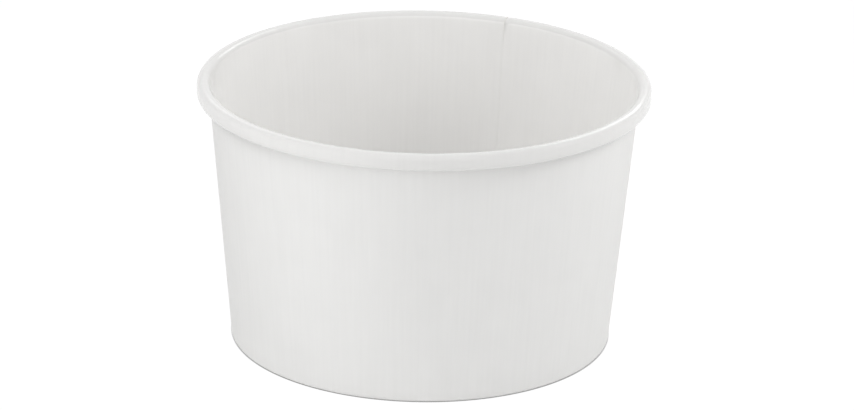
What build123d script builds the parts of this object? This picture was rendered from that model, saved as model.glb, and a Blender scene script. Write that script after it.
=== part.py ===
from build123d import *
from math import asin, atan2, cos, degrees, hypot, sin, tan
import os

# Paper soup container, in millimetres. +Z is up and the origin is the middle of the foot, on the surface
# that the container stands on. It is two pieces of paperboard: a conical side wall, rolled outwards at the
# rim and hemmed at the foot, and a recessed base disc, whose skirt the hem holds against the wall.

# Overall form
height = 68.0
rim_diameter = 115.0  # over the roll, which a lid grips
foot_diameter = 96.9  # outside of the wall, where its slope meets the floor
board = 0.45  # the side wall's board

# Rolled rim
roll_width = 3.5
roll_height = 4.35
roll_clearance = 0.1  # between the lapped wall and the turned-in end of the roll

# Hem at the foot
hem_height = 6.3
fold_radius = 0.4  # outside of the two creases that the container stands between
glue_line = 0.03

# Lap seam, where the blank's two ends are bonded: one end lies inside and the other steps over it
seam_azimuth = 67.5  # degrees, from +X, of the inside end's edge
lap_width = 6.0
step_width = 2.0  # where the outside end climbs over the inside one

# Base disc
disc_board = 0.4
recess = 7.5  # height of the disc's underside above the floor
disc_corner_radius = 1.1
skirt_gap = 0.5  # between the skirt's edge and the hem's fold

# Each bend is cut into flats, with half as many inside the roll, where they don't show
crest_flat_count = 6
underside_flat_count = 4
crease_flat_count = 2

# The blank is wound on a cone, which is the inside of the wall and leans by the slope. The wall meets the
# crest of the roll where a line from the cone's foot touches it.
lap_thickness = 2 * board
cone_foot_radius = foot_diameter / 2 - board
crest_radius = roll_width / 2
crest_center = Vector(rim_diameter / 2 - crest_radius, height - crest_radius)
crest_distance = hypot(crest_center.X - cone_foot_radius, crest_center.Y)
slope = atan2(crest_center.X - cone_foot_radius, crest_center.Y) - asin(crest_radius / crest_distance)
wall_length = (crest_distance**2 - crest_radius**2) ** 0.5
up_the_wall = Vector(sin(slope), cos(slope))
out_of_the_wall = Vector(cos(slope), -sin(slope))

# The roll's underside is the half turn that leaves the clearance beside a lapped wall.
roll_foot = height - roll_height
room_beside_wall = (rim_diameter / 2 - cone_foot_radius) * cos(slope) - roll_foot * sin(slope)
underside_room = room_beside_wall - lap_thickness - roll_clearance
underside_radius = underside_room / (1 + cos(slope) + sin(slope))
drop_length = roll_height - crest_radius - underside_radius


def cone_point(depth, level):
    """The point at a level on the face of the wall that lies at a depth outside the winding cone."""
    return Vector(cone_foot_radius + depth / cos(slope) + level * tan(slope), level)


def cut_into_flats(bend, flats):
    """The points that cut a bend into flats, from its start to its end."""
    return [bend @ (step / flats) for step in range(flats + 1)]


def creased(corners, radius):
    """The points of an outline through some corners, with all but its ends rounded."""
    outline = FilletPolyline(*corners, radius=radius)
    bends = outline.edges().filter_by(GeomType.CIRCLE)
    rounded = [point for bend in bends for point in cut_into_flats(bend, crease_flat_count)]
    return [corners[0], *rounded, corners[-1]]


def roll_points(depth, coarseness):
    """The roll's outline at a depth in the board: over the crest, down, and under towards the wall."""
    start = cone_point(0, 0) + out_of_the_wall * depth + up_the_wall * wall_length
    crest = JernArc(start, up_the_wall, crest_radius - depth, degrees(slope) - 180)
    drop = PolarLine(crest @ 1, drop_length, direction=crest % 1)
    underside = JernArc(drop @ 1, drop % 1, underside_radius - depth, -degrees(slope) - 180)
    over = cut_into_flats(crest, crest_flat_count // coarseness)
    return over + cut_into_flats(underside, underside_flat_count // coarseness)


def hem_corners(depth, fold_level):
    """The top of the hem and its two creases, at a depth in the board and with the fold at a level."""
    hem_depth = -(depth + disc_board + 2 * glue_line)
    top, inner_crease = cone_point(hem_depth, hem_height), cone_point(hem_depth, fold_level)
    return [top, inner_crease, cone_point(depth, fold_level)]


def wall_section(inner, outer):
    """The section of the board between two depths outside the winding cone, from hem to roll."""
    inside = hem_corners(inner, outer - inner) + roll_points(inner, 1)
    roll_inside = roll_points(outer, 2)
    outside = creased(hem_corners(outer, 0) + roll_inside[:1], fold_radius) + roll_inside[1:]
    return make_face(Plane.XZ * Polyline(*inside, *reversed(outside), close=True))


def side_wall():
    """The blank wound once round from its inside end, then stepping over that end and lapping it."""
    seam_radius = cone_point(0, height / 2).X
    step_angle = degrees(step_width / seam_radius)
    lap_angle = degrees(lap_width / seam_radius)
    once_round = revolve(wall_section(0, board), Axis.Z, 360 - step_angle)
    step = loft([Rot(Z=-step_angle) * wall_section(0, board), wall_section(board, lap_thickness)], ruled=True)
    outside_end = revolve(wall_section(board, lap_thickness), Axis.Z, lap_angle)
    return Rot(Z=seam_azimuth) * (once_round + step + outside_end)


def base_disc():
    """The disc with its skirt, which tapers with the wall and ends above the hem's fold."""
    face_depth = -glue_line
    back_depth = face_depth - disc_board
    top = recess + disc_board
    skirt_foot = board + skirt_gap
    corner, skirt_edge = cone_point(face_depth, top), cone_point(face_depth, skirt_foot)
    outside = creased([Vector(0, top), corner, skirt_edge], disc_corner_radius)
    inside = [cone_point(back_depth, skirt_foot), cone_point(back_depth, recess), Vector(0, recess)]
    return revolve(make_face(Plane.XZ * Polyline(*outside, *inside, close=True)), Axis.Z)


os.makedirs("parts", exist_ok=True)
export_step(side_wall(), "parts/side_wall.step")
export_step(base_disc(), "parts/base_disc.step")
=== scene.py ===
"""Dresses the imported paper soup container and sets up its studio, in metres and in the model's frame."""

import logging
import math
from collections.abc import Callable, Iterable
from dataclasses import dataclass
from enum import Enum
from functools import cached_property

import bpy
from mathutils import Matrix, Vector


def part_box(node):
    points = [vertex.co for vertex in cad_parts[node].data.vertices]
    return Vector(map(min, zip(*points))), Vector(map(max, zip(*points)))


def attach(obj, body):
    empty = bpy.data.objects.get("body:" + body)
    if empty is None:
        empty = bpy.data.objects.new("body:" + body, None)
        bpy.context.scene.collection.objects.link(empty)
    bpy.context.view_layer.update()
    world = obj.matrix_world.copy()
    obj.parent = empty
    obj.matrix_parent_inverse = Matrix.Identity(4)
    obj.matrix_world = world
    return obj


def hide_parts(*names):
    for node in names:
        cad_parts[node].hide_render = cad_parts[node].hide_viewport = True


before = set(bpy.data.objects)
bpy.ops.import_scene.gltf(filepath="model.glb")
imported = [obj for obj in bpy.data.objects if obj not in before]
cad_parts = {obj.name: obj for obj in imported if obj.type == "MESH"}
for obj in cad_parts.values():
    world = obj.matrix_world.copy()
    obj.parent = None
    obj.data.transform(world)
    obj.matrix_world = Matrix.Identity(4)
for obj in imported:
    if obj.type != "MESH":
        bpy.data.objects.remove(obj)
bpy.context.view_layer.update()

LOG = logging.getLogger("soup_container")
MM = 0.001
FULL_TURN = 2 * math.pi
HALF_TURN = math.pi
QUARTER_TURN = math.pi / 2
MERGE_DISTANCE = 0.002 * MM
END_ROW = 0.25 * MM
PATTERN_LOW = 0.3
PATTERN_HIGH = 0.7
SMOOTH_ANGLE = math.radians(40)
EASED_ANGLE = math.radians(60)
EASED_ROWS = 2
RIPPLE_LAYERS = 1
BODY = "root"


def ramp(value: float, start: float, end: float) -> float:
    """Rises smoothly from 0 to 1.

    Args:
        value: The value to weigh.
        start: Where the ramp leaves 0.
        end: Where it reaches 1.

    Returns:
        The share, which is 0 before the start and 1 after the end.
    """
    share = min(max((value - start) / (end - start), 0.0), 1.0)
    return share * share * (3 - 2 * share)


class Face(Enum):
    """The faces of a sheet of board, in the order of its piece's material slots."""

    FOOD_SIDE = 0
    PRINT_SIDE = 1
    CUT_EDGE = 2


class Grain(Enum):
    """The ways that the board's grain runs in a piece."""

    UP_THE_WALL = "up the wall, all the way round"
    ACROSS_THE_DISC = "straight across, from front to back"


@dataclass(frozen=True)
class CoatedBoard:
    """A coated face of white paperboard: a fine grain, a faint mottle and a low relief of fibres.

    Attributes:
        cone: The cone that the board is wound on.
        name: The material's name.
        colour: The colour of the coating.
        roughness: How dull the coating is.
        specular: The level of its gloss.
        grain: The way that the grain runs.
        grain_width: The width of the grain's streaks.
        grain_length: The length of the streaks.
        grain_shade: The share of the colour that the darkest streaks take away.
        mottle_size: The size of the cloudy patches.
        mottle_shade: The share of the colour that the darkest patches take away.
        grain_relief: The depth of the streaks.
        fibre_size: The width of the fibres that show through the coating.
        fibre_relief: The depth between those fibres.
        winding_radius: The radius at which the streaks have their width.
        grain_detail: How many finer layers the grain has.
        mottle_detail: How many finer layers the patches have.
        fibre_detail: How many finer layers the fibres have.
        painted_roll_shade: Painted shade over the roll: the share of the colour taken away where the board
            is curled outwards.
        painted_shade_start: How far outside the wall's cone the painted shade starts.
        painted_shade_end: How far outside it the painted shade is full.
    """

    cone: "Cone"
    name: str
    colour: tuple[float, float, float]
    roughness: float
    specular: float
    grain: Grain = Grain.UP_THE_WALL
    grain_width: float = 0.9 * MM
    grain_length: float = 26 * MM
    grain_shade: float = 0.02
    mottle_size: float = 9 * MM
    mottle_shade: float = 0.015
    grain_relief: float = 0.010 * MM
    fibre_size: float = 0.30 * MM
    fibre_relief: float = 0.006 * MM
    winding_radius: float = 53 * MM
    grain_detail: float = 3.0
    mottle_detail: float = 2.0
    fibre_detail: float = 4.0
    painted_roll_shade: float = 0.0
    painted_shade_start: float = 0.005 * MM
    painted_shade_end: float = 0.12 * MM

    def make(self) -> bpy.types.Material:
        """Builds the material.

        Returns:
            The material, whose patterns follow the container's own coordinates.
        """
        graph = ShaderGraph(self.name)
        place = graph.add("ShaderNodeTexCoord").outputs["Object"]
        along = {Grain.UP_THE_WALL: self._upright, Grain.ACROSS_THE_DISC: self._straight}[self.grain]
        grain = graph.noise(along(graph, place), 1 / self.grain_width, self.grain_detail)
        mottle = graph.noise(place, 1 / self.mottle_size, self.mottle_detail)
        fibres = graph.noise(place, 1 / self.fibre_size, self.fibre_detail)
        shaded = graph.darken(self.colour, grain, self.grain_shade)
        shaded = graph.darken(shaded, mottle, self.mottle_shade)
        # Painted shade: the coating's colour is darkened over the roll.
        if self.painted_roll_shade:
            shaded = graph.shade(shaded, self._painted_shade_area(graph, place), self.painted_roll_shade)
        relief = graph.bump(fibres, self.fibre_relief)
        relief = graph.bump(grain, self.grain_relief, relief)
        graph.finish(shaded, self.roughness, relief, self.specular)
        return graph.material

    def _painted_shade_area(self, graph: "ShaderGraph", place: bpy.types.NodeSocket) -> bpy.types.NodeSocket:
        """Finds the board that is curled out of the wall's cone, which takes the painted shade.

        Args:
            graph: The material's nodes.
            place: The point on the container.

        Returns:
            0 on the wall, and 1 over the roll.
        """
        flat = graph.add("ShaderNodeVectorMath", operation="MULTIPLY")
        graph.link(place, flat.inputs[0])
        flat.inputs[1].default_value = (1, 1, 0)
        radius = graph.add("ShaderNodeVectorMath", operation="LENGTH")
        graph.link(flat.outputs[0], radius.inputs[0])
        upright = graph.add("ShaderNodeSeparateXYZ")
        graph.link(place, upright.inputs[0])
        lean = graph.add("ShaderNodeMath", operation="MULTIPLY_ADD")
        graph.link(upright.outputs["Z"], lean.inputs[0])
        lean.inputs[1].default_value = -math.tan(self.cone.slope)
        graph.link(radius.outputs["Value"], lean.inputs[2])
        spread = graph.add("ShaderNodeMapRange", interpolation_type="SMOOTHSTEP")
        graph.link(lean.outputs[0], spread.inputs["Value"])
        foot = self.cone.point(0, 0).x
        spread.inputs["From Min"].default_value = foot + self.painted_shade_start
        spread.inputs["From Max"].default_value = foot + self.painted_shade_end
        return spread.outputs["Result"]

    def _straight(self, graph: "ShaderGraph", place: bpy.types.NodeSocket) -> bpy.types.NodeSocket:
        """Stretches a pattern from front to back.

        Args:
            graph: The material's nodes.
            place: The point on the container.

        Returns:
            The point with its depth drawn in.
        """
        drawn = graph.add("ShaderNodeVectorMath", operation="MULTIPLY")
        graph.link(place, drawn.inputs[0])
        drawn.inputs[1].default_value = (1, self.grain_width / self.grain_length, 1)
        return drawn.outputs[0]

    def _upright(self, graph: "ShaderGraph", place: bpy.types.NodeSocket) -> bpy.types.NodeSocket:
        """Stretches a pattern up the wall and keeps it whole all the way round.

        Args:
            graph: The material's nodes.
            place: The point on the container.

        Returns:
            The point moved out to the winding radius, with its height drawn in.
        """
        flat = graph.add("ShaderNodeVectorMath", operation="MULTIPLY")
        graph.link(place, flat.inputs[0])
        flat.inputs[1].default_value = (1, 1, 0)
        direction = graph.add("ShaderNodeVectorMath", operation="NORMALIZE")
        graph.link(flat.outputs[0], direction.inputs[0])
        ring = graph.add("ShaderNodeVectorMath", operation="SCALE")
        graph.link(direction.outputs[0], ring.inputs[0])
        ring.inputs["Scale"].default_value = self.winding_radius
        rise = graph.add("ShaderNodeVectorMath", operation="MULTIPLY_ADD")
        graph.link(place, rise.inputs[0])
        rise.inputs[1].default_value = (0, 0, self.grain_width / self.grain_length)
        graph.link(ring.outputs[0], rise.inputs[2])
        return rise.outputs[0]


@dataclass(frozen=True)
class FoodSide(CoatedBoard):
    """The board's lined face, which is glossy and faces the food."""

    name: str = "board_food_side"
    colour: tuple[float, float, float] = (0.88, 0.874, 0.862)
    roughness: float = 0.18
    specular: float = 0.5
    # Painted shade over the roll takes this share of the colour.
    painted_roll_shade: float = 0.13


@dataclass(frozen=True)
class PrintSide(CoatedBoard):
    """The board's plain outside face, which is dull."""

    name: str = "board_print_side"
    colour: tuple[float, float, float] = (0.80, 0.797, 0.787)
    roughness: float = 0.7
    specular: float = 0.1


@dataclass(frozen=True)
class RawEdge:
    """The cut edge of the board: uncoated pulp with fine layers of fibre.

    Attributes:
        name: The material's name.
        colour: The colour of the pulp.
        roughness: How dull the pulp is.
        specular: The level of its gloss.
        fibre_size: The length of its fibres.
        fibre_shade: The share of the colour that the gaps between fibres take away.
        fibre_relief: The depth of those gaps.
        fibre_detail: How many finer layers the fibres have.
    """

    name: str = "board_cut_edge"
    colour: tuple[float, float, float] = (0.80, 0.775, 0.73)
    roughness: float = 0.9
    specular: float = 0.5
    fibre_size: float = 0.12 * MM
    fibre_shade: float = 0.15
    fibre_relief: float = 0.02 * MM
    fibre_detail: float = 4.0

    def make(self) -> bpy.types.Material:
        """Builds the material.

        Returns:
            The material of every cut edge.
        """
        graph = ShaderGraph(self.name)
        place = graph.add("ShaderNodeTexCoord").outputs["Object"]
        fibres = graph.noise(place, 1 / self.fibre_size, self.fibre_detail)
        shaded = graph.darken(self.colour, fibres, self.fibre_shade)
        relief = graph.bump(fibres, self.fibre_relief)
        graph.finish(shaded, self.roughness, relief, self.specular)
        return graph.material


class NodeGraph:
    """The nodes of one material or world, added and linked one after another."""

    def __init__(self, owner: bpy.types.Material | bpy.types.World, output: str) -> None:
        """Clears the owner's nodes but for its output.

        Args:
            owner: The material or the world.
            output: The type of its output node.
        """
        owner.use_nodes = True
        self.tree = owner.node_tree
        self.tree.nodes.clear()
        self.output = self.add(output)

    def add(self, kind: str, **settings: str | bool) -> bpy.types.Node:
        """Adds a node.

        Args:
            kind: The node's type.
            **settings: The node's own settings, such as its operation.

        Returns:
            The new node.
        """
        node = self.tree.nodes.new(kind)
        for setting, value in settings.items():
            setattr(node, setting, value)
        return node

    def link(self, source: bpy.types.NodeSocket, target: bpy.types.NodeSocket) -> None:
        """Joins an output to an input."""
        self.tree.links.new(source, target)

    def calculate(
        self, operation: str, first: bpy.types.NodeSocket, second: bpy.types.NodeSocket
    ) -> bpy.types.NodeSocket:
        """Adds a calculation with two numbers.

        Args:
            operation: The calculation's name, such as MAXIMUM.
            first: The first number.
            second: The second number.

        Returns:
            The result.
        """
        node = self.add("ShaderNodeMath", operation=operation)
        self.link(first, node.inputs[0])
        self.link(second, node.inputs[1])
        return node.outputs[0]


class ShaderGraph(NodeGraph):
    """The nodes of one material."""

    def __init__(self, name: str) -> None:
        """Starts a material that holds only its output.

        Args:
            name: The material's name.
        """
        self.material = bpy.data.materials.new(name)
        super().__init__(self.material, "ShaderNodeOutputMaterial")

    def noise(self, place: bpy.types.NodeSocket, scale: float, detail: float) -> bpy.types.NodeSocket:
        """Adds a noise pattern.

        Args:
            place: The point that the pattern is read at.
            scale: How many features there are to a metre.
            detail: How many finer layers are added.

        Returns:
            The pattern's value, from 0 to 1.
        """
        texture = self.add("ShaderNodeTexNoise")
        self.link(place, texture.inputs["Vector"])
        texture.inputs["Scale"].default_value = scale
        texture.inputs["Detail"].default_value = detail
        return texture.outputs["Fac"]

    def darken(
        self,
        colour: tuple[float, float, float] | bpy.types.NodeSocket,
        pattern: bpy.types.NodeSocket,
        share: float,
    ) -> bpy.types.NodeSocket:
        """Shades a colour by a pattern, whose middle values are spread over the whole of its range.

        Args:
            colour: The colour, or an output that gives it.
            pattern: The pattern, which shades most where it is high.
            share: The share of the colour that goes where the pattern is high.

        Returns:
            The shaded colour.
        """
        spread = self.add("ShaderNodeMapRange")
        self.link(pattern, spread.inputs["Value"])
        spread.inputs["From Min"].default_value = PATTERN_LOW
        spread.inputs["From Max"].default_value = PATTERN_HIGH
        spread.inputs["To Min"].default_value = 1.0
        spread.inputs["To Max"].default_value = 1.0 - share
        shaded = self.add("ShaderNodeVectorMath", operation="SCALE")
        self.link(spread.outputs["Result"], shaded.inputs["Scale"])
        if isinstance(colour, tuple):
            shaded.inputs[0].default_value = colour
        else:
            self.link(colour, shaded.inputs[0])
        return shaded.outputs[0]

    def shade(
        self, colour: bpy.types.NodeSocket, area: bpy.types.NodeSocket, share: float
    ) -> bpy.types.NodeSocket:
        """Darkens a colour over an area with painted shade.

        Args:
            colour: The output that gives the colour.
            area: The output that is 1 over the area and 0 elsewhere.
            share: The share of the colour that goes there.

        Returns:
            The shaded colour.
        """
        left = self.add("ShaderNodeMapRange")
        self.link(area, left.inputs["Value"])
        left.inputs["To Min"].default_value = 1.0
        left.inputs["To Max"].default_value = 1.0 - share
        shaded = self.add("ShaderNodeVectorMath", operation="SCALE")
        self.link(colour, shaded.inputs[0])
        self.link(left.outputs["Result"], shaded.inputs["Scale"])
        return shaded.outputs[0]

    def bump(
        self,
        pattern: bpy.types.NodeSocket,
        depth: float,
        below: bpy.types.NodeSocket | None = None,
    ) -> bpy.types.NodeSocket:
        """Adds relief.

        Args:
            pattern: The height, from 0 to 1.
            depth: The height in metres where the pattern is 1.
            below: The relief that this one lies on.

        Returns:
            The surface's direction.
        """
        relief = self.add("ShaderNodeBump")
        relief.inputs["Strength"].default_value = 1.0
        relief.inputs["Distance"].default_value = depth
        self.link(pattern, relief.inputs["Height"])
        if below is not None:
            self.link(below, relief.inputs["Normal"])
        return relief.outputs["Normal"]

    def finish(
        self,
        colour: bpy.types.NodeSocket,
        roughness: float,
        relief: bpy.types.NodeSocket,
        specular: float,
    ) -> None:
        """Joins the patterns to the surface's shader.

        Args:
            colour: The base colour.
            roughness: The roughness.
            relief: The surface's direction.
            specular: The level of its gloss.
        """
        surface = self.add("ShaderNodeBsdfPrincipled")
        surface.inputs["Roughness"].default_value = roughness
        surface.inputs["Specular IOR Level"].default_value = specular
        self.link(colour, surface.inputs["Base Color"])
        self.link(relief, surface.inputs["Normal"])
        self.link(surface.outputs["BSDF"], self.output.inputs["Surface"])


class SectionLine:
    """Draws a section in the XZ plane, from its first point along straight runs and round turns."""

    def __init__(self, name: str, start: Vector) -> None:
        """Makes a piece that holds only the first point.

        Args:
            name: The piece's name.
            start: The first point.
        """
        bpy.ops.object.select_all(action="DESELECT")
        bpy.ops.mesh.primitive_plane_add(size=MM, location=start)
        self.piece = bpy.context.object
        self.piece.name = name
        self.piece.data.name = name
        bpy.ops.object.transform_apply(location=True, rotation=False, scale=False)
        bpy.ops.object.mode_set(mode="EDIT")
        bpy.ops.mesh.select_mode(type="VERT")
        bpy.ops.mesh.merge(type="CENTER")
        self.end = start

    def run_to(self, point: Vector, rows: int = 1) -> None:
        """Draws a straight run.

        Args:
            point: The run's end.
            rows: How many equal parts the run has.
        """
        step = (point - self.end) / rows
        for _ in range(rows):
            bpy.ops.mesh.extrude_vertices_move(TRANSFORM_OT_translate={"value": step})
        self.end = point

    def run_beside_bends(self, point: Vector, rows: int) -> None:
        """Draws a long straight run with a short row at each end, for crisp shading of the bends beside it.

        Args:
            point: The run's end.
            rows: How many equal parts the run has between its end rows.
        """
        direction = (point - self.end).normalized()
        self.run_to(self.end + direction * END_ROW)
        self.run_to(point - direction * END_ROW, rows)
        self.run_to(point)

    def turn(self, centre: Vector, angle: float, rows: int) -> None:
        """Draws a round turn.

        Args:
            centre: The turn's centre.
            angle: How far it turns about +Y.
            rows: How many equal parts the turn has.
        """
        bpy.ops.mesh.spin(steps=rows, angle=-angle, center=centre, axis=(0, 1, 0))
        arm = self.end - centre
        across = Vector((arm.z, 0, -arm.x))
        self.end = centre + arm * math.cos(angle) + across * math.sin(angle)

    def finish(self) -> bpy.types.Object:
        """Leaves edit mode.

        Returns:
            The piece, which holds the section alone.
        """
        bpy.ops.object.mode_set(mode="OBJECT")
        return self.piece


class Sheet:
    """A wound sheet of board, which is turned into a finished piece."""

    def __init__(
        self, section: bpy.types.Object, angle: float, rows: int, finishes: Iterable[bpy.types.Material]
    ) -> None:
        """Winds a section about the container's axis.

        Args:
            section: The piece that holds the section.
            angle: How far the section turns about +Z.
            rows: How many equal parts the turn has.
            finishes: The board's materials, in the order of Face.
        """
        self.piece = section
        for finish in finishes:
            section.data.materials.append(finish)
        self.section_points = len(section.data.vertices)
        self.modify("SCREW", axis="Z", angle=angle, screw_offset=0.0, steps=rows, render_steps=rows)

    def weigh(self, name: str, weight: Callable[[int, Vector], float]) -> None:
        """Adds a vertex group.

        Args:
            name: The group's name.
            weight: Gives a point's weight from its number and its place.
        """
        group = self.piece.vertex_groups.new(name=name)
        for vertex in self.piece.data.vertices:
            share = weight(vertex.index, vertex.co)
            if share > 0:
                group.add([vertex.index], min(share, 1.0), "REPLACE")

    def modify(self, kind: str, **settings: object) -> None:
        """Applies a modifier.

        Args:
            kind: The modifier's type.
            **settings: The modifier's settings.
        """
        bpy.context.view_layer.objects.active = self.piece
        modifier = self.piece.modifiers.new(kind.title(), kind)
        for setting, value in settings.items():
            setattr(modifier, setting, value)
        bpy.ops.object.modifier_apply(modifier=modifier.name)

    def clean(self) -> None:
        """Merges doubled points and turns all faces the same way."""
        self._edit(lambda: bpy.ops.mesh.remove_doubles(threshold=MERGE_DISTANCE))
        self._edit(lambda: bpy.ops.mesh.normals_make_consistent(inside=False))

    def turn_food_side(self, point: Vector, direction: Vector) -> None:
        """Flips the sheet unless its food side looks the right way.

        Args:
            point: A point on the sheet.
            direction: The way that the food side looks there.
        """
        nearest = min(self.piece.data.polygons, key=lambda face: (face.center - point).length)
        if nearest.normal.dot(direction) < 0:
            self._edit(lambda: bpy.ops.mesh.flip_normals())

    def thicken(self, board: float, board_share: str = "") -> None:
        """Thickens the sheet behind its food side, and gives its print side and cut edges their own slots.

        Args:
            board: The board's thickness.
            board_share: The vertex group that says what share of the thickness the board keeps.
        """
        self.modify(
            "SOLIDIFY",
            thickness=board,
            offset=-1.0,
            material_offset=Face.PRINT_SIDE.value,
            material_offset_rim=Face.CUT_EDGE.value,
            shell_vertex_group=self._new_group(Face.PRINT_SIDE.name),
            vertex_group=board_share,
        )

    def ripple(self, name: str, size: float, depth: float, group: str) -> None:
        """Presses soft, irregular ripples into the sheet's food side.

        Args:
            name: The pattern's name.
            size: The width of its ripples.
            depth: The depth of its hollows.
            group: The vertex group that it acts on.
        """
        clouds = bpy.data.textures.new(name, "CLOUDS")
        clouds.noise_scale = size
        clouds.noise_depth = RIPPLE_LAYERS
        self.modify(
            "DISPLACE",
            texture=clouds,
            texture_coords="LOCAL",
            vertex_group=group,
            direction="NORMAL",
            mid_level=0.0,
            strength=-depth,
        )

    def reshape(self, move: Callable[[Vector], Vector]) -> None:
        """Moves every point.

        Args:
            move: Gives a point's new place from its old one.
        """
        for vertex in self.piece.data.vertices:
            vertex.co = move(vertex.co)
        self.piece.data.update()

    def ease_edges(self, width: float) -> None:
        """Rounds the board's cut edges.

        Args:
            width: The width of the rounding.
        """
        self.modify(
            "BEVEL",
            width=width,
            segments=EASED_ROWS,
            limit_method="ANGLE",
            angle_limit=EASED_ANGLE,
            use_clamp_overlap=True,
        )

    def smooth(self) -> None:
        """Shades the faces smoothly across every edge that turns less than the smoothed angle."""
        self._select()
        bpy.ops.object.shade_smooth_by_angle(angle=SMOOTH_ANGLE)

    def shell_share(self, vertex: int) -> float:
        """Says whether a point of the thickened sheet lies on its print side.

        Args:
            vertex: The point's number.

        Returns:
            1 on the print side, and 0 on the food side.
        """
        shell = self.piece.vertex_groups[Face.PRINT_SIDE.name].index
        groups = self.piece.data.vertices[vertex].groups
        return max((g.weight for g in groups if g.group == shell), default=0.0)

    def _new_group(self, name: str) -> str:
        """Adds an empty vertex group and returns its name."""
        return self.piece.vertex_groups.new(name=name).name

    def _select(self) -> None:
        """Makes the piece the only one selected."""
        bpy.ops.object.select_all(action="DESELECT")
        self.piece.select_set(True)
        bpy.context.view_layer.objects.active = self.piece

    def _edit(self, action: Callable[[], object]) -> None:
        """Runs an edit on the whole mesh.

        Args:
            action: The edit.
        """
        self._select()
        bpy.ops.object.mode_set(mode="EDIT")
        bpy.ops.mesh.select_all(action="SELECT")
        action()
        bpy.ops.object.mode_set(mode="OBJECT")


@dataclass(frozen=True)
class Cone:
    """The cone that the blank is wound on, which is the food side of the wall.

    Attributes:
        height: The container's height.
        rim_radius: The radius over the roll.
        foot_radius: The wall's outside radius where its slope meets the floor.
        board: The thickness of the wall's board.
        roll_width: The roll's width, which is twice the radius of its crest.
        glue_line: What the glue takes between two layers.
        disc_board: The thickness of the base disc's board.
    """

    height: float
    rim_radius: float = 57.5 * MM
    foot_radius: float = 48.45 * MM
    board: float = 0.45 * MM
    roll_width: float = 3.5 * MM
    glue_line: float = 0.03 * MM
    disc_board: float = 0.4 * MM

    @cached_property
    def crest_radius(self) -> float:
        """The radius of the roll's crest."""
        return self.roll_width / 2

    @cached_property
    def crest_centre(self) -> Vector:
        """The centre of the roll's crest."""
        return Vector((self.rim_radius - self.crest_radius, 0, self.height - self.crest_radius))

    @cached_property
    def slope(self) -> float:
        """How far the wall leans out, where a line from the cone's foot touches the crest."""
        away = self.crest_centre - Vector((self.foot_radius - self.board, 0, 0))
        return math.atan2(away.x, away.z) - math.asin(self.crest_radius / away.length)

    @cached_property
    def wall_top(self) -> Vector:
        """The point where the wall's food side meets the crest."""
        return self.crest_centre - self.outwards * self.crest_radius

    @cached_property
    def outwards(self) -> Vector:
        """The direction square to the wall, away from the axis."""
        return Vector((math.cos(self.slope), 0, -math.sin(self.slope)))

    def point(self, depth: float, level: float) -> Vector:
        """Finds a point beside the wall.

        Args:
            depth: How far the point lies outside the cone.
            level: The point's height.

        Returns:
            The point, in the XZ plane.
        """
        radius = self.foot_radius - self.board + depth / math.cos(self.slope)
        return Vector((radius + level * math.tan(self.slope), 0, level))


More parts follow.
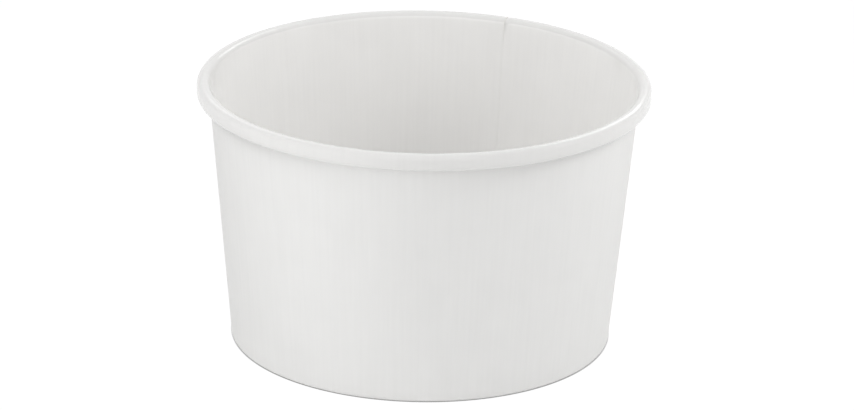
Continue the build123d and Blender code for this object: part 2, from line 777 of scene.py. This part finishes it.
@dataclass
class SideWall:
    """The side wall: one blank wound round the cone, rolled outwards at the rim and hemmed at the foot.

    Attributes:
        cone: The cone that it is wound on.
        roll_height: The roll's height.
        roll_clearance: The room between the lapped wall and the roll's end.
        hem_height: The hem's height.
        crease_radius: The food side's radius at the two creases of the hem's fold.
        seam_azimuth: The azimuth of the inside end's cut edge, from +X.
        lap_width: The width of the lap beyond that edge.
        step_width: The width of the step that takes the outside end over the inside one.
        wall_rows: The rows of faces up the wall.
        hem_rows: The rows of faces up the hem.
        crest_rows: The rows of faces over the roll's crest.
        underside_rows: The rows of faces under the roll.
        crease_rows: The rows of faces round each crease.
        fold_rows: The rows of faces across the flat of the hem's fold.
        roll_side_rows: The rows of faces down the roll's straight outer face.
        rows_in_a_turn: The rows of faces in one turn round the container.
        edge_bevel: The width of the easing of the cut edges.
        rolled_share: The share of its thickness that the inside end keeps in the roll and the hem.
        pressed_share: The share that it keeps on the wall.
        press_fade: How far the change from one share to the other reaches up or down the wall.
        knurl_count: The number of knurl marks round the hem.
        knurl_depth: Their depth.
        knurl_margin: The plain board above and below the marks, and the length over which they fade in.
        oval_depth: How far the rim is out of round.
        oval_azimuth: The azimuth at which the rim keeps its full radius.
        wave_size: The width of the soft waves in the wall.
        wave_depth: Their depth.
        ripple_size: The width of the ripples in the roll.
        ripple_depth: Their depth.
        ripple_fade: The height over which the ripples fade in.
    """

    cone: Cone
    roll_height: float = 4.35 * MM
    roll_clearance: float = 0.1 * MM
    hem_height: float = 6.3 * MM
    crease_radius: float = 0.06 * MM
    seam_azimuth: float = math.radians(67.5)
    lap_width: float = 6.0 * MM
    step_width: float = 2.0 * MM
    wall_rows: int = 10
    hem_rows: int = 8
    crest_rows: int = 12
    underside_rows: int = 10
    crease_rows: int = 4
    fold_rows: int = 2
    roll_side_rows: int = 2
    rows_in_a_turn: int = 720
    edge_bevel: float = 0.02 * MM
    rolled_share: float = 0.4
    pressed_share: float = 0.03
    press_fade: float = 5.5 * MM
    knurl_count: int = 120
    knurl_depth: float = 0.2 * MM
    knurl_margin: float = 0.6 * MM
    oval_depth: float = 0.12 * MM
    oval_azimuth: float = 0.0
    wave_size: float = 22 * MM
    wave_depth: float = 0.06 * MM
    ripple_size: float = 5 * MM
    ripple_depth: float = 0.05 * MM
    ripple_fade: float = 1.0 * MM

    def build(self, finishes: Iterable[bpy.types.Material]) -> bpy.types.Object:
        """Builds the piece.

        Args:
            finishes: The board's materials, in the order of Face.

        Returns:
            The finished side wall.
        """
        line = SectionLine("side_wall_board", self.hem_top)
        self._draw_hem(line)
        line.run_beside_bends(self.cone.wall_top, self.wall_rows)
        self._draw_roll(line)
        section = line.finish()
        section.rotation_euler = (0, 0, self.seam_azimuth)
        bpy.ops.object.transform_apply(location=False, rotation=True, scale=False)
        rows = round(self.winding_angle / FULL_TURN * self.rows_in_a_turn)
        sheet = Sheet(section, self.winding_angle, rows, finishes)
        sheet.turn_food_side(self.seam_point, -self.seam_point)
        self._lap(sheet, rows)
        self._unsettle(sheet)
        sheet.thicken(self.cone.board, "board_share")
        self._knurl(sheet)
        sheet.ease_edges(self.edge_bevel)
        sheet.smooth()
        return sheet.piece

    @cached_property
    def hem_depth(self) -> float:
        """How far inside the cone the hem's food side lies: the skirt and two glue lines."""
        return self.cone.disc_board + 2 * self.cone.glue_line

    @cached_property
    def hem_top(self) -> Vector:
        """The top edge of the hem, where the section starts."""
        return self.cone.point(-self.hem_depth, self.hem_height)

    @cached_property
    def seam_point(self) -> Vector:
        """Finds a point on the wall's food side at half height, on the inside end's cut edge.

        Returns:
            The point.
        """
        radius = self.cone.point(0, self.cone.height / 2).x
        direction = Vector((math.cos(self.seam_azimuth), math.sin(self.seam_azimuth), 0))
        return direction * radius + Vector((0, 0, self.cone.height / 2))

    @cached_property
    def winding_angle(self) -> float:
        """How far the blank goes round: one turn and the lap."""
        return FULL_TURN + self.lap_width / self.seam_point.xy.length

    @cached_property
    def underside_radius(self) -> float:
        """Works out the roll's underside, which leaves the clearance beside a lapped wall.

        Returns:
            The underside's radius.
        """
        slope = self.cone.slope
        level = self.cone.height - self.roll_height
        room = (self.cone.rim_radius - self.cone.point(0, 0).x) * math.cos(slope) - level * math.sin(slope)
        room -= 2 * self.cone.board + self.roll_clearance
        return room / (1 + math.cos(slope) + math.sin(slope))

    def _draw_hem(self, line: SectionLine) -> None:
        """Draws the hem down to its fold, and the fold's two creases.

        Args:
            line: The section, which ends at the hem's top edge.
        """
        radius = self.crease_radius
        level = self.cone.board
        slope = self.cone.slope
        inner = self.cone.point(radius - self.hem_depth, level + radius)
        outer = self.cone.point(-radius, level + radius)
        line.run_beside_bends(inner - self.cone.outwards * radius, self.hem_rows)
        line.turn(inner, -(QUARTER_TURN + slope), self.crease_rows)
        line.run_to(outer - Vector((0, 0, radius)), self.fold_rows)
        line.turn(outer, -(QUARTER_TURN - slope), self.crease_rows)

    def _draw_roll(self, line: SectionLine) -> None:
        """Draws the roll: over its crest, down its outside, and under towards the wall.

        Args:
            line: The section, which ends at the wall's top.
        """
        slope = self.cone.slope
        line.turn(self.cone.crest_centre, HALF_TURN - slope, self.crest_rows)
        centre = line.end.copy()
        centre.z = self.cone.height - self.roll_height + self.underside_radius
        line.run_to(centre, self.roll_side_rows)
        centre.x -= self.underside_radius
        line.turn(centre, HALF_TURN + slope, self.underside_rows)

    def _lap(self, sheet: Sheet, rows: int) -> None:
        """Steps the winding's last stretch over its first, by the share of the board that is left there.

        Args:
            sheet: The wound sheet.
            rows: How many rows of points it has round the container.
        """
        radius = self.seam_point.xy.length
        row_width = self.winding_angle / rows * radius
        blank_width = self.winding_angle * radius
        turn_width = FULL_TURN * radius

        def wound(index: int) -> float:
            """Gives the width of board that is wound before a point."""
            return index // sheet.section_points * row_width

        def climb(index: int) -> float:
            """Gives the share of the step that the board has climbed at a point."""
            return ramp(wound(index), turn_width - self.step_width, turn_width)

        def step(index: int, place: Vector) -> float:
            """Gives the share of the board's thickness that a point moves outwards."""
            return climb(index) * self._seam_share(place.z)

        def lift(index: int, place: Vector) -> float:
            """Gives the share of the board's thickness that a point of the fold moves up."""
            return step(index, place) * (1 - ramp(place.z, 2 * self.cone.board, self.hem_height))

        def keep(index: int, place: Vector) -> float:
            """Gives the share of its thickness that the board keeps at a point."""
            under = 1 - ramp(wound(index), self.lap_width, self.lap_width + self.step_width)
            return 1 - under * (1 - self._seam_share(place.z))

        sheet.weigh("step", step)
        sheet.weigh("lift", lift)
        sheet.weigh("board_share", keep)
        board = self.cone.board
        sheet.modify("DISPLACE", vertex_group="step", direction="NORMAL", mid_level=0.0, strength=-board)
        sheet.modify("DISPLACE", vertex_group="lift", direction="Z", mid_level=0.0, strength=board)
        LOG.info("side_wall: blank %.1f mm wide at half height", blank_width / MM)

    def _seam_share(self, level: float) -> float:
        """Gives the share of its thickness that the inside end keeps where the seam is pressed flat.

        Args:
            level: The height on the wall.

        Returns:
            The rolled share in the roll and in the hem, and the pressed share on the wall between them.
        """
        free = max(
            ramp(level, self.cone.height - self.press_fade, self.cone.height),
            1 - ramp(level, self.hem_height, self.hem_height + self.press_fade),
        )
        return self.pressed_share + (self.rolled_share - self.pressed_share) * free

    def _unsettle(self, sheet: Sheet) -> None:
        """Takes the wound rim a little out of round, and gives the wall soft waves and the roll ripples.

        Args:
            sheet: The wound sheet, before it has its thickness.
        """
        foot = self.hem_height + self.press_fade
        rim = self.cone.height - self.roll_height

        def slacken(place: Vector) -> Vector:
            """Moves a point of the upper wall inwards, towards an oval.

            Args:
                place: The point.

            Returns:
                The point's new place.
            """
            turn = math.atan2(place.y, place.x)
            inwards = self.oval_depth * (1 - math.cos(2 * (turn - self.oval_azimuth))) / 2
            radius = place.xy.length
            share = 1 - inwards * ramp(place.z, foot, rim) / radius
            return Vector((place.x * share, place.y * share, place.z))

        sheet.reshape(slacken)
        sheet.weigh("wall", lambda index, place: ramp(place.z, foot, rim))
        sheet.weigh("roll", lambda index, place: ramp(place.z, rim, rim + self.ripple_fade))
        sheet.ripple("board_waves", self.wave_size, self.wave_depth, "wall")
        sheet.ripple("roll_ripples", self.ripple_size, self.ripple_depth, "roll")

    def _knurl(self, sheet: Sheet) -> None:
        """Presses the upright knurl marks into the hem's face in the recess.

        Args:
            sheet: The sheet with its thickness.
        """
        hem_radius = self.cone.point(-self.hem_depth, self.hem_height).x

        def press(index: int, place: Vector) -> float:
            """Gives the share of the knurls' depth at a point.

            Args:
                index: The point's number.
                place: The point.

            Returns:
                1 in the middle of a mark, and 0 away from the hem's face in the recess.
            """
            if place.z > self.hem_height or place.xy.length > hem_radius:
                return 0.0
            edge_distance = min(place.z, self.hem_height - place.z)
            window = ramp(edge_distance, self.knurl_margin, 2 * self.knurl_margin)
            wave = (1 + math.cos(self.knurl_count * math.atan2(place.y, place.x))) / 2
            return window * wave * sheet.shell_share(index)

        sheet.weigh("knurls", press)
        sheet.modify(
            "DISPLACE", vertex_group="knurls", direction="NORMAL", mid_level=0.0, strength=-self.knurl_depth
        )


@dataclass
class BaseDisc:
    """The base disc: a flat cap with a rounded corner, whose skirt tapers down between wall and hem.

    Attributes:
        cone: The cone that its skirt fits in.
        recess: The height of its underside above the floor.
        corner_radius: The outside radius of its corner.
        skirt_gap: The room between the skirt's edge and the hem's fold.
        centre_rows: The rows of faces between the disc's centre and its corner.
        corner_rows: The rows of faces round the corner.
        skirt_rows: The rows of faces down the skirt.
        rows_in_a_turn: The rows of faces in one turn round the disc.
    """

    cone: Cone
    recess: float = 7.5 * MM
    corner_radius: float = 1.1 * MM
    skirt_gap: float = 0.5 * MM
    centre_rows: int = 14
    corner_rows: int = 8
    skirt_rows: int = 4
    rows_in_a_turn: int = 360

    def build(self, finishes: Iterable[bpy.types.Material]) -> bpy.types.Object:
        """Builds the piece.

        Args:
            finishes: The board's materials, in the order of Face.

        Returns:
            The finished disc.
        """
        cone = self.cone
        top = self.recess + cone.disc_board
        foot = cone.board + self.skirt_gap
        face_depth = -cone.glue_line
        turn = QUARTER_TURN + cone.slope
        inset = self.corner_radius * math.tan(turn / 2)
        corner = cone.point(face_depth, top)
        line = SectionLine("base_disc_board", Vector((0, 0, top)))
        line.run_beside_bends(corner - Vector((inset, 0, 0)), self.centre_rows)
        line.turn(line.end - Vector((0, 0, self.corner_radius)), turn, self.corner_rows)
        line.run_beside_bends(cone.point(face_depth, foot), self.skirt_rows)
        sheet = Sheet(line.finish(), FULL_TURN, self.rows_in_a_turn, finishes)
        sheet.clean()
        sheet.turn_food_side(Vector((0, 0, top)), Vector((0, 0, 1)))
        sheet.thicken(cone.disc_board)
        sheet.smooth()
        return sheet.piece


def hand_over(piece: bpy.types.Object, node: str) -> None:
    """Lets a finished piece stand for its node.

    Args:
        piece: The finished piece.
        node: The node that it stands for.
    """
    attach(piece, BODY)
    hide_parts(node)


@dataclass(frozen=True)
class StripLight:
    """An upright soft strip light that faces the container's axis.

    Attributes:
        name: The light's name.
        azimuth: Where it stands, in degrees from -Y towards +X.
        distance: How far from the axis it stands.
        low: The height of its lower end.
        high: The height of its upper end.
        power: Its power in watts.
        width: The width of its face.
        glints: Whether the board's gloss shows it.
    """

    name: str
    azimuth: float
    distance: float
    low: float
    high: float
    power: float
    width: float
    glints: bool = False

    def place(self) -> None:
        """Adds the light to the scene."""
        lamp = bpy.data.lights.new(self.name, "AREA")
        lamp.shape = "RECTANGLE"
        lamp.size = self.width
        lamp.size_y = self.high - self.low
        lamp.energy = self.power
        stand = bpy.data.objects.new(self.name, lamp)
        bpy.context.scene.collection.objects.link(stand)
        turn = math.radians(self.azimuth)
        away = Vector((math.sin(turn), -math.cos(turn), 0))
        stand.location = away * self.distance + Vector((0, 0, (self.low + self.high) / 2))
        stand.rotation_euler = away.to_track_quat("Z", "Y").to_euler()
        stand.visible_camera = False
        stand.visible_glossy = self.glints


@dataclass
class Studio:
    """A plain studio: a pale floor, a white surround and soft strip lights.

    Attributes:
        floor_size: The floor's width and depth.
        near_distance: How far the lights that shape the wall's shading stand from the axis.
        far_distance: How far the lights that look over the rim stand from it.
        surround: How strongly the surround lights the container.
        overhead_dimming: The share of that light that is missing straight overhead.
        dimming_start: The upward part of the direction at which the dimming starts.
        dimming_end: The upward part at which it is full.
        floor_tone: The floor's own tone.
        floor_level: The floor's height, a hair below the container's foot.
        contact_reach: How far the contact shadow reaches from the foot.
        contact_samples: How finely the contact shadow is sampled.
        white_strength: How bright the floor looks to the camera before the shadows.
        shadow_share: The share of the floor's look that the lights' shadows darken.
    """

    floor_size: float = 6.0
    near_distance: float = 0.16
    far_distance: float = 0.32
    surround: float = 0.75
    overhead_dimming: float = 0.54
    dimming_start: float = 0.5
    dimming_end: float = 0.98
    floor_tone: float = 0.9
    floor_level: float = -0.02 * MM
    contact_reach: float = 0.45 * MM
    contact_samples: int = 16
    white_strength: float = 1.06
    shadow_share: float = 0.12

    def build(self) -> None:
        """Adds the floor, the surround and the lights."""
        self._build_surround()
        self._build_floor()
        for light in self._lights():
            light.place()

    def _lights(self) -> list[StripLight]:
        """Lists the lights: two close to the wall, and four further out that look over the rim.

        Returns:
            The lights.
        """
        near = self.near_distance
        far = self.far_distance
        return [
            StripLight("left_near", -26, near, low=0.0, high=0.26, power=0.064, width=0.08),
            StripLight("right_near", 60, near, low=0.0, high=0.2, power=0.02, width=0.08),
            StripLight("left", -86, far, low=0.25, high=0.5, power=0.7, width=0.2),
            StripLight("right", 80, far, low=0.2, high=0.45, power=0.57, width=0.12),
            StripLight("back_left", -150, far, low=0.2, high=0.45, power=0.09, width=0.12, glints=True),
            StripLight("back_right", 150, far, low=0.2, high=0.45, power=0.25, width=0.12, glints=True),
        ]

    def _build_surround(self) -> None:
        """Makes the world white to the camera and in reflections, and dimmer as a light."""
        world = bpy.data.worlds.new("surround")
        bpy.context.scene.world = world
        graph = NodeGraph(world, "ShaderNodeOutputWorld")
        place = graph.add("ShaderNodeSeparateXYZ")
        graph.link(graph.add("ShaderNodeTexCoord").outputs["Generated"], place.inputs[0])
        lit = graph.add("ShaderNodeMapRange", interpolation_type="SMOOTHSTEP")
        graph.link(place.outputs["Z"], lit.inputs["Value"])
        lit.inputs["From Min"].default_value = self.dimming_start
        lit.inputs["From Max"].default_value = self.dimming_end
        lit.inputs["To Min"].default_value = self.surround
        lit.inputs["To Max"].default_value = self.surround * (1 - self.overhead_dimming)
        path = graph.add("ShaderNodeLightPath").outputs
        seen = graph.calculate("MAXIMUM", path["Is Camera Ray"], path["Is Transmission Ray"])
        strength = graph.add("ShaderNodeMapRange")
        graph.link(graph.calculate("MAXIMUM", seen, path["Is Glossy Ray"]), strength.inputs["Value"])
        graph.link(lit.outputs["Result"], strength.inputs["To Min"])
        strength.inputs["To Max"].default_value = 1.0
        background = graph.add("ShaderNodeBackground")
        background.inputs["Color"].default_value = (1, 1, 1, 1)
        graph.link(strength.outputs["Result"], background.inputs["Strength"])
        graph.link(background.outputs[0], graph.output.inputs["Surface"])

    def _build_floor(self) -> None:
        """Lays the floor, which looks white to the camera but for the container's shadow."""
        bpy.ops.object.select_all(action="DESELECT")
        bpy.ops.mesh.primitive_plane_add(size=self.floor_size, location=(0, 0, self.floor_level))
        floor = bpy.context.object
        floor.name = "floor"
        floor.data.materials.append(self._floor_material())

    def _floor_material(self) -> bpy.types.Material:
        """Mixes a white that the camera sees with a real floor that takes the shadow.

        Returns:
            The floor's material.
        """
        graph = ShaderGraph("pale_floor")
        paint = graph.add("ShaderNodeBsdfDiffuse")
        paint.inputs["Color"].default_value = (self.floor_tone, self.floor_tone, self.floor_tone, 1)
        contact = graph.add("ShaderNodeAmbientOcclusion")
        contact.samples = self.contact_samples
        contact.inputs["Distance"].default_value = self.contact_reach
        white = graph.add("ShaderNodeEmission")
        white.inputs["Strength"].default_value = self.white_strength
        graph.link(contact.outputs["Color"], white.inputs["Color"])
        shown = graph.add("ShaderNodeMixShader")
        shown.inputs["Fac"].default_value = self.shadow_share
        graph.link(white.outputs[0], shown.inputs[1])
        graph.link(paint.outputs[0], shown.inputs[2])
        path = graph.add("ShaderNodeLightPath").outputs
        surface = graph.add("ShaderNodeMixShader")
        seen = graph.calculate("MAXIMUM", path["Is Camera Ray"], path["Is Glossy Ray"])
        graph.link(seen, surface.inputs["Fac"])
        graph.link(paint.outputs[0], surface.inputs[1])
        graph.link(shown.outputs[0], surface.inputs[2])
        graph.link(surface.outputs[0], graph.output.inputs["Surface"])
        return graph.material


@dataclass(frozen=True)
class PhotoCamera:
    """The photograph's point of view, as fitted to the container's outline.

    Attributes:
        target_side: How far to the right of the axis the middle of the picture is.
        target_height: How high it is.
        distance: How far the camera stands from it.
        elevation: How high it stands, in degrees.
        roll: How far the picture turns clockwise, in degrees.
        focal_pixels: The focal length in the photograph's pixels.
        photo_width: The photograph's width in pixels.
        sensor: The sensor's width in millimetres.
    """

    target_side: float = 1.234 * MM
    target_height: float = 34 * MM
    distance: float = 1.143
    elevation: float = 20.5
    roll: float = 1.067
    focal_pixels: float = 4480.0
    photo_width: int = 854
    sensor: float = 36.0

    def place(self) -> None:
        """Adds the camera and makes it the scene's own."""
        lens = bpy.data.cameras.new("photo_camera")
        lens.sensor_width = self.sensor
        lens.lens = self.focal_pixels / self.photo_width * self.sensor
        camera = bpy.data.objects.new("photo_camera", lens)
        bpy.context.scene.collection.objects.link(camera)
        rise = math.radians(self.elevation)
        back = Vector((0, -math.cos(rise), math.sin(rise)))
        camera.location = Vector((self.target_side, 0, self.target_height)) + back * self.distance
        facing = (-back).to_track_quat("-Z", "Y").to_matrix()
        camera.rotation_euler = (facing @ Matrix.Rotation(math.radians(self.roll), 3, "Z")).to_euler()
        bpy.context.scene.camera = camera


def main() -> None:
    """Builds the pieces in order, dresses them, and sets up the studio and the camera."""
    logging.basicConfig(level=logging.INFO, format="%(name)s: %(message)s")
    cone = Cone(height=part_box("side_wall")[1].z)
    cut_edge = RawEdge().make()
    wall = SideWall(cone).build([FoodSide(cone).make(), PrintSide(cone).make(), cut_edge])
    hand_over(wall, "side_wall")
    across = Grain.ACROSS_THE_DISC
    # The disc's food side gets no painted shade.
    disc_food_side = FoodSide(cone, name="disc_food_side", grain=across, painted_roll_shade=0.0)
    disc_print_side = PrintSide(cone, name="disc_print_side", grain=across)
    disc = BaseDisc(cone).build([disc_food_side.make(), disc_print_side.make(), cut_edge])
    hand_over(disc, "base_disc")
    for piece in (wall, disc):
        LOG.info("%s: %d faces", piece.name, len(piece.data.polygons))
    Studio().build()
    PhotoCamera().place()
    bpy.context.scene.view_settings.view_transform = "Standard"


if __name__ == "__main__":
    main()
